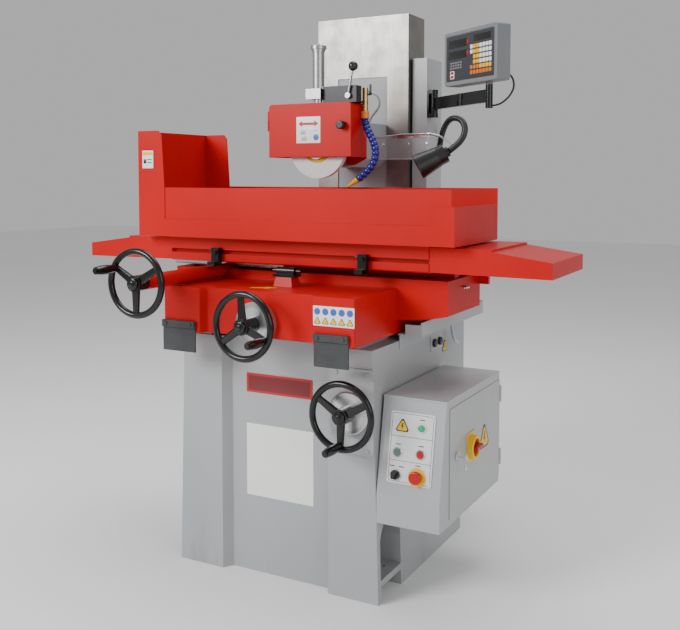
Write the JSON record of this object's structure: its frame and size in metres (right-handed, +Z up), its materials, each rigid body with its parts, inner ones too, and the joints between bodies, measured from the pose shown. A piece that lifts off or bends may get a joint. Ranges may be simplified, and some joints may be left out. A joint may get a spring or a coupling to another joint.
{
  "type": "surface grinder",
  "caption": "Manual surface grinder: slotted table with splash guard on a cross saddle, column with rising wheel head, three feed handwheels, switch box, lamp and swivelling position display.",
  "frame": {"origin": "on the floor under the base, midway between the four foundation-bolt holes", "axes": "+X along the table to the operator's right, +Y back from the operator, +Z up"},
  "size_m": [1.586, 1.217, 1.737],
  "materials": {
    "painted_red": "gloss enamel over cast iron and folded sheet",
    "painted_grey": "semi-gloss light grey enamel over cast iron",
    "black_paint": "gloss black enamel",
    "stainless": "brushed",
    "steel": "machined",
    "aluminium": "satin turned",
    "cast_iron": "machined",
    "black_plastic": "moulded",
    "gloss_black_plastic": "polished phenolic",
    "rubber": "pebbled",
    "grey_plastic": "textured case",
    "red_plastic": "moulded",
    "green_plastic": "moulded",
    "blue_plastic": "jointed hose",
    "clear_plastic": "clear sheet",
    "clear_tube": "milky soft tube",
    "cable": "sheathed",
    "abrasive": "white fused abrasive",
    "brass": "turned",
    "panel": "printed plate"
  },
  "bodies": {
    "stand": {"base_casting": "painted_grey", "levelling_screws": "steel", "elevating_flange": "painted_grey", "column_casting": "painted_grey", "column_cover": "stainless", "scale_cover": "painted_grey", "side_tray": "painted_grey", "electrical_box": "painted_grey", "control_panel": "panel", "drain_hose": "clear_tube", "dro_bracket": "black_paint", "lamp_neck": "black_plastic", "lamp_head": "black_plastic"},
    "door": {"box_door": "painted_grey"},
    "main_switch": {"main_switch_knob": "red_plastic"},
    "start": {"start_button": "green_plastic"},
    "stop": {"stop_button": "red_plastic"},
    "emergency_stop": {"estop_button": "red_plastic"},
    "selector": {"selector_knob": "black_plastic"},
    "inner_arm": {"dro_arm": "black_paint"},
    "outer_arm": {"dro_outer_arm": "black_paint"},
    "read_out": {"dro_housing": "grey_plastic", "dro_cable": "cable"},
    "elevating_handwheel": {"elevating_wheel": "black_paint", "elevating_dial": "aluminium", "elevating_shaft": "steel"},
    "elevating_handle": {"elevating_grip": "gloss_black_plastic"},
    "lift_shaft": {"lift_cross_shaft": "steel"},
    "lift_screw": {"elevating_screw": "steel"},
    "saddle": {"saddle_casting": "painted_red", "wiper_flaps": "rubber", "reversing_stop": "black_paint"},
    "traverse_handwheel": {"traverse_wheel": "black_paint", "traverse_shaft": "steel"},
    "traverse_handle": {"traverse_grip": "gloss_black_plastic"},
    "cross_handwheel": {"cross_wheel": "black_paint", "cross_dial": "aluminium", "cross_screw": "steel"},
    "cross_handle": {"cross_grip": "gloss_black_plastic"},
    "table": {"table_casting": "painted_red", "table_rack": "steel", "splash_guard": "painted_red", "spark_catcher": "painted_red", "end_covers": "painted_red"},
    "left_dog": {"left_stop_dog": "black_paint"},
    "right_dog": {"right_stop_dog": "black_paint"},
    "head": {"head_casting": "painted_grey", "motor_and_bearings": "steel", "wheel_guard": "painted_red", "dresser_block": "steel", "coolant_fittings": "brass", "coolant_hose": "blue_plastic", "supply_tube": "clear_tube", "eye_shield": "clear_plastic"},
    "wheel_spindle": {"spindle": "steel", "grinding_wheel": "abrasive"},
    "hood_cover": {"guard_cover": "painted_red"},
    "hood_knob": {"guard_knob": "black_plastic"},
    "lever": {"dresser_lever": "steel"},
    "tap_lever": {"tap_handle": "black_plastic"}
  },
  "joints": [
    {"name": "saddle_slide", "type": "slide", "parent": "stand", "child": "saddle", "axis": [0, 1, 0], "range_m": [-0.11, 0.09]},
    {"name": "table_slide", "type": "slide", "parent": "saddle", "child": "table", "axis": [1, 0, 0], "range_m": [-0.17, 0.2]},
    {"name": "head_slide", "type": "slide", "parent": "stand", "child": "head", "axis": [0, 0, 1], "range_m": [-0.05, 0.15]},
    {"name": "traverse_turn", "type": "hinge", "parent": "saddle", "child": "traverse_handwheel", "pos_m": [-0.29, -0.618, 0.896], "axis": [0, 1, 0], "range_deg": [-813, 956]},
    {"name": "traverse_grip_spin", "type": "hinge", "parent": "traverse_handwheel", "child": "traverse_handle", "pos_m": [-0.35928, -0.648, 0.936], "axis": [0, 1, 0], "continuous": true},
    {"name": "cross_turn", "type": "hinge", "parent": "saddle", "child": "cross_handwheel", "pos_m": [0, -0.515, 0.781], "axis": [0, 1, 0], "range_deg": [-7922, 6481]},
    {"name": "cross_grip_spin", "type": "hinge", "parent": "cross_handwheel", "child": "cross_handle", "pos_m": [0.07251, -0.545, 0.74719], "axis": [0, 1, 0], "continuous": true},
    {"name": "elevating_turn", "type": "hinge", "parent": "stand", "child": "elevating_handwheel", "pos_m": [0.262, -0.428, 0.541], "axis": [0, 1, 0], "range_deg": [-10801, 3602]},
    {"name": "elevating_grip_spin", "type": "hinge", "parent": "elevating_handwheel", "child": "elevating_handle", "pos_m": [0.25921, -0.458, 0.46105], "axis": [0, 1, 0], "continuous": true},
    {"name": "lift_shaft_turn", "type": "hinge", "parent": "stand", "child": "lift_shaft", "pos_m": [0.13, 0.325, 0.541], "axis": [1, 0, 0], "range_deg": [-3602, 10801]},
    {"name": "lift_screw_turn", "type": "hinge", "parent": "stand", "child": "lift_screw", "pos_m": [0, 0.325, 0.9], "axis": [0, 0, 1], "range_deg": [-10801, 3602]},
    {"name": "left_dog_slide", "type": "slide", "parent": "table", "child": "left_dog", "axis": [1, 0, 0], "range_m": [-0.15, 0]},
    {"name": "right_dog_slide", "type": "slide", "parent": "table", "child": "right_dog", "axis": [1, 0, 0], "range_m": [0, 0.15]},
    {"name": "spindle_spin", "type": "hinge", "parent": "head", "child": "wheel_spindle", "pos_m": [0, -0.088, 1.29], "axis": [0, 1, 0], "continuous": true},
    {"name": "hood_cover_turn", "type": "hinge", "parent": "head", "child": "hood_cover", "pos_m": [-0.169, -0.114, 1.387], "axis": [0, 0, -1], "range_deg": [0, 110]},
    {"name": "hood_knob_spin", "type": "hinge", "parent": "hood_cover", "child": "hood_knob", "pos_m": [0.103, -0.124, 1.353], "axis": [0, 1, 0], "continuous": true},
    {"name": "dresser_lever_turn", "type": "hinge", "parent": "head", "child": "lever", "pos_m": [0.112, -0.108, 1.444], "axis": [0, 1, 0], "range_deg": [-25, 25]},
    {"name": "tap_turn", "type": "hinge", "parent": "head", "child": "tap_lever", "pos_m": [0.143, -0.048, 1.452], "axis": [1, 0, 0], "range_deg": [0, 90]},
    {"name": "door_turn", "type": "hinge", "parent": "stand", "child": "door", "pos_m": [0.526, 0.139, 0.4], "axis": [0, 0, 1], "range_deg": [0, 110]},
    {"name": "main_switch_turn", "type": "hinge", "parent": "door", "child": "main_switch", "pos_m": [0.53, -0.132, 0.418], "axis": [1, 0, 0], "range_deg": [0, 90]},
    {"name": "start_press", "type": "slide", "parent": "stand", "child": "start", "axis": [0, 0.9823, -0.1875], "range_m": [0, 0.003], "stiffness_N_per_m": 400},
    {"name": "stop_press", "type": "slide", "parent": "stand", "child": "stop", "axis": [0, 0.9823, -0.1875], "range_m": [0, 0.003], "stiffness_N_per_m": 400},
    {"name": "emergency_stop_press", "type": "slide", "parent": "stand", "child": "emergency_stop", "axis": [0, 0.9823, -0.1875], "range_m": [0, 0.006], "stiffness_N_per_m": 400},
    {"name": "selector_turn", "type": "hinge", "parent": "stand", "child": "selector", "pos_m": [0.391, -0.34906, 0.37833], "axis": [0, -0.9823, 0.1875], "range_deg": [-45, 45]},
    {"name": "arm_swivel", "type": "hinge", "parent": "stand", "child": "inner_arm", "pos_m": [0.248, 0.256, 1.438], "axis": [0, 0, 1], "range_deg": [-30, 60]},
    {"name": "elbow_swivel", "type": "hinge", "parent": "inner_arm", "child": "outer_arm", "pos_m": [0.39, 0.14, 1.438], "axis": [0, 0, 1], "range_deg": [-20, 60]},
    {"name": "read_out_swivel", "type": "hinge", "parent": "outer_arm", "child": "read_out", "pos_m": [0.514, 0.04, 1.45], "axis": [0, 0, 1], "range_deg": [-30, 30]}
  ],
  "couplings": [
    {"joint": "traverse_turn", "follows": "table_slide", "rad_per_m": 83.333},
    {"joint": "cross_turn", "follows": "saddle_slide", "rad_per_m": 1256.6},
    {"joint": "elevating_turn", "follows": "head_slide", "rad_per_m": -1256.6},
    {"joint": "lift_shaft_turn", "follows": "head_slide", "rad_per_m": 1256.6},
    {"joint": "lift_screw_turn", "follows": "head_slide", "rad_per_m": -1256.6}
  ]
}
